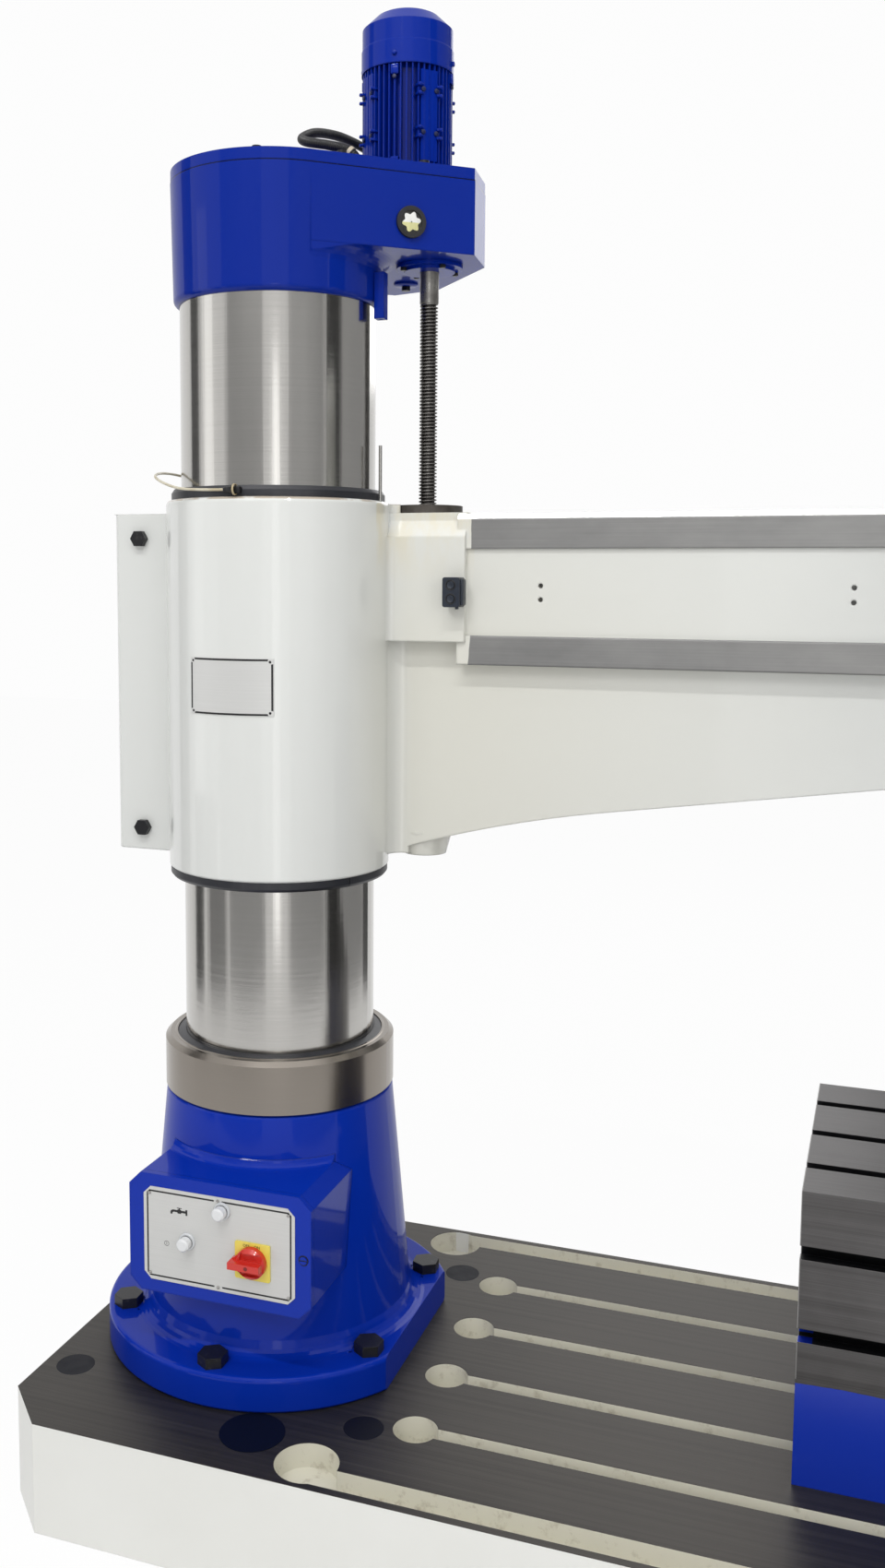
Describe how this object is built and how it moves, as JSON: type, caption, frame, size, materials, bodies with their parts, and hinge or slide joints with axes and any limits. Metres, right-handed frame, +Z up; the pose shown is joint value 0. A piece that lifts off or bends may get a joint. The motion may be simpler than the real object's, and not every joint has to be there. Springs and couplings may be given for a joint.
{
  "type": "radial arm drill",
  "caption": "Radial drilling machine: slotted base with box table, swivelling column, lifting arm and a traversing drill head with quill.",
  "frame": {"origin": "on the floor, on the column axis, in the plane of the base plate's underside", "axes": "+Z up along the column, +X along the arm at rest, +Y to the back, away from the operator"},
  "size_m": [2.4, 0.932, 2.618],
  "materials": {
    "aluminium": "satin",
    "black_plastic": "matte",
    "black_rubber": "matte",
    "black_steel": "blackened",
    "blue_paint": "gloss",
    "cast_iron": "machined",
    "clear_plastic": "gloss",
    "cream_paint": "satin",
    "dark_plastic": "satin",
    "green_plastic": "gloss",
    "nylon": "satin",
    "red_plastic": "gloss",
    "steel": "ground",
    "white_plastic": "gloss",
    "yellow_plastic": "gloss"
  },
  "bodies": {
    "base": {"base_plate": "cast_iron", "foundation_plugs": "black_steel", "tank_cover": "black_steel", "pedestal": "blue_paint", "pedestal_bolts": "black_steel", "inner_column": "steel", "column_bearings": "steel", "electrical_box": "blue_paint", "box_table": "cast_iron", "table_bolts": "black_steel"},
    "door": {"box_door": "blue_paint", "panel_plate": "aluminium", "switch_plate": "yellow_plastic"},
    "switch_handle_body": {"switch_handle": "red_plastic"},
    "upper_button_body": {"upper_button": "white_plastic"},
    "lower_button_body": {"lower_button": "white_plastic"},
    "door_lock_body": {"door_lock": "black_steel"},
    "column": {"outer_column": "steel", "clamp_ring": "steel", "ring_wiper": "black_rubber", "lift_gearbox": "blue_paint", "gearbox_cover": "blue_paint", "cover_screws": "black_steel", "lift_motor": "blue_paint", "terminal_box": "blue_paint", "fan_cowl": "blue_paint", "conduit": "black_plastic", "sight_glass_ring": "black_plastic", "sight_glass": "clear_plastic", "screw_bearing_cap": "blue_paint", "drain_plug": "black_steel", "limit_switch": "blue_paint"},
    "rotor": {"motor_rotor": "steel"},
    "screw": {"lift_screw": "steel", "lift_gear": "steel"},
    "arm_body": {"arm": "cream_paint", "upper_wiper": "black_rubber", "lower_wiper": "black_rubber", "arm_key": "steel", "lift_nut": "cast_iron", "ear_bolts": "black_steel", "arm_switch_box": "dark_plastic", "grease_line": "nylon", "trip_rod": "steel", "sleeve_plate": "aluminium", "rack": "steel"},
    "arm_switch_upper_body": {"arm_switch_upper": "dark_plastic"},
    "arm_switch_lower_body": {"arm_switch_lower": "dark_plastic"},
    "head": {"drill_head": "cream_paint", "head_keeper": "cast_iron", "head_motor": "cream_paint"},
    "handwheel": {"traverse_handwheel": "steel"},
    "pinion": {"traverse_pinion": "steel"},
    "feed": {"feed_handle": "steel"},
    "quill_body": {"quill": "steel"},
    "spindle_body": {"spindle": "steel"},
    "dial": {"speed_dial": "black_plastic"},
    "lever": {"spindle_lever": "steel"},
    "start": {"start_button": "green_plastic"},
    "stop": {"stop_button": "red_plastic"}
  },
  "joints": [
    {"name": "column_swivel", "type": "hinge", "parent": "base", "child": "column", "pos_m": [0, 0, 1], "axis": [0, 0, 1], "range_deg": [-180, 180]},
    {"name": "arm_lift", "type": "slide", "parent": "column", "child": "arm_body", "axis": [0, 0, 1], "range_m": [-0.29, 0.29]},
    {"name": "lift_screw_turn", "type": "hinge", "parent": "column", "child": "screw", "pos_m": [0.248, 0.11, 2], "axis": [0, 0, 1], "range_deg": [-17400, 17400]},
    {"name": "lift_motor_turn", "type": "hinge", "parent": "column", "child": "rotor", "pos_m": [0.18619, 0.16185, 2.4], "axis": [0, 0, 1], "range_deg": [-49715, 49715]},
    {"name": "box_door_swing", "type": "hinge", "parent": "base", "child": "door", "pos_m": [-0.153, -0.3, 0.479], "axis": [0, 0, -1], "range_deg": [0, 110]},
    {"name": "main_switch_turn", "type": "hinge", "parent": "door", "child": "switch_handle_body", "pos_m": [0.084, -0.305, 0.461], "axis": [0, 1, 0], "range_deg": [0, 90]},
    {"name": "upper_button_press", "type": "slide", "parent": "door", "child": "upper_button_body", "axis": [0, 1, 0], "range_m": [0, 0.005], "stiffness_N_per_m": 400},
    {"name": "lower_button_press", "type": "slide", "parent": "door", "child": "lower_button_body", "axis": [0, 1, 0], "range_m": [0, 0.005], "stiffness_N_per_m": 400},
    {"name": "door_lock_turn", "type": "hinge", "parent": "door", "child": "door_lock_body", "pos_m": [0.176, -0.3, 0.477], "axis": [0, 1, 0], "range_deg": [0, 90]},
    {"name": "arm_switch_upper_press", "type": "slide", "parent": "arm_body", "child": "arm_switch_upper_body", "axis": [0, 1, 0], "range_m": [0, 0.0015], "stiffness_N_per_m": 400},
    {"name": "arm_switch_lower_press", "type": "slide", "parent": "arm_body", "child": "arm_switch_lower_body", "axis": [0, 1, 0], "range_m": [0, 0.0015], "stiffness_N_per_m": 400},
    {"name": "head_traverse", "type": "slide", "parent": "arm_body", "child": "head", "axis": [1, 0, 0], "range_m": [-0.875, 0.375]},
    {"name": "traverse_pinion_turn", "type": "hinge", "parent": "head", "child": "pinion", "pos_m": [1.46, 0.1, 1.7376], "axis": [0, 1, 0], "range_deg": [-2388.3, 1024.1]},
    {"name": "traverse_handwheel_turn", "type": "hinge", "parent": "head", "child": "handwheel", "pos_m": [1.305, -0.34, 1.56], "axis": [0, 1, 0], "range_deg": [-1024.1, 2388.3]},
    {"name": "quill_feed", "type": "slide", "parent": "head", "child": "quill_body", "axis": [0, 0, -1], "range_m": [0, 0.315]},
    {"name": "feed_handle_turn", "type": "hinge", "parent": "head", "child": "feed", "pos_m": [1.52, -0.34, 1.4], "axis": [0, -1, 0], "range_deg": [0, 946]},
    {"name": "spindle_spin", "type": "hinge", "parent": "quill_body", "child": "spindle_body", "pos_m": [1.4, -0.15, 1.2], "axis": [0, 0, 1], "continuous": true},
    {"name": "speed_dial_turn", "type": "hinge", "parent": "head", "child": "dial", "pos_m": [1.34, -0.34, 1.716], "axis": [0, 1, 0], "range_deg": [0, 300]},
    {"name": "spindle_lever_turn", "type": "hinge", "parent": "head", "child": "lever", "pos_m": [1.295, -0.34, 1.39], "axis": [0, 1, 0], "range_deg": [-25, 25]},
    {"name": "start_button_press", "type": "slide", "parent": "head", "child": "start", "axis": [0, 1, 0], "range_m": [0, 0.004], "stiffness_N_per_m": 400},
    {"name": "stop_button_press", "type": "slide", "parent": "head", "child": "stop", "axis": [0, 1, 0], "range_m": [0, 0.004], "stiffness_N_per_m": 400}
  ],
  "couplings": [
    {"joint": "lift_screw_turn", "follows": "arm_lift", "rad_per_m": -1047.2},
    {"joint": "lift_motor_turn", "follows": "arm_lift", "rad_per_m": 2992},
    {"joint": "traverse_pinion_turn", "follows": "head_traverse", "rad_per_m": 47.619},
    {"joint": "traverse_handwheel_turn", "follows": "head_traverse", "rad_per_m": -47.619},
    {"joint": "feed_handle_turn", "follows": "quill_feed", "rad_per_m": 52.36}
  ]
}
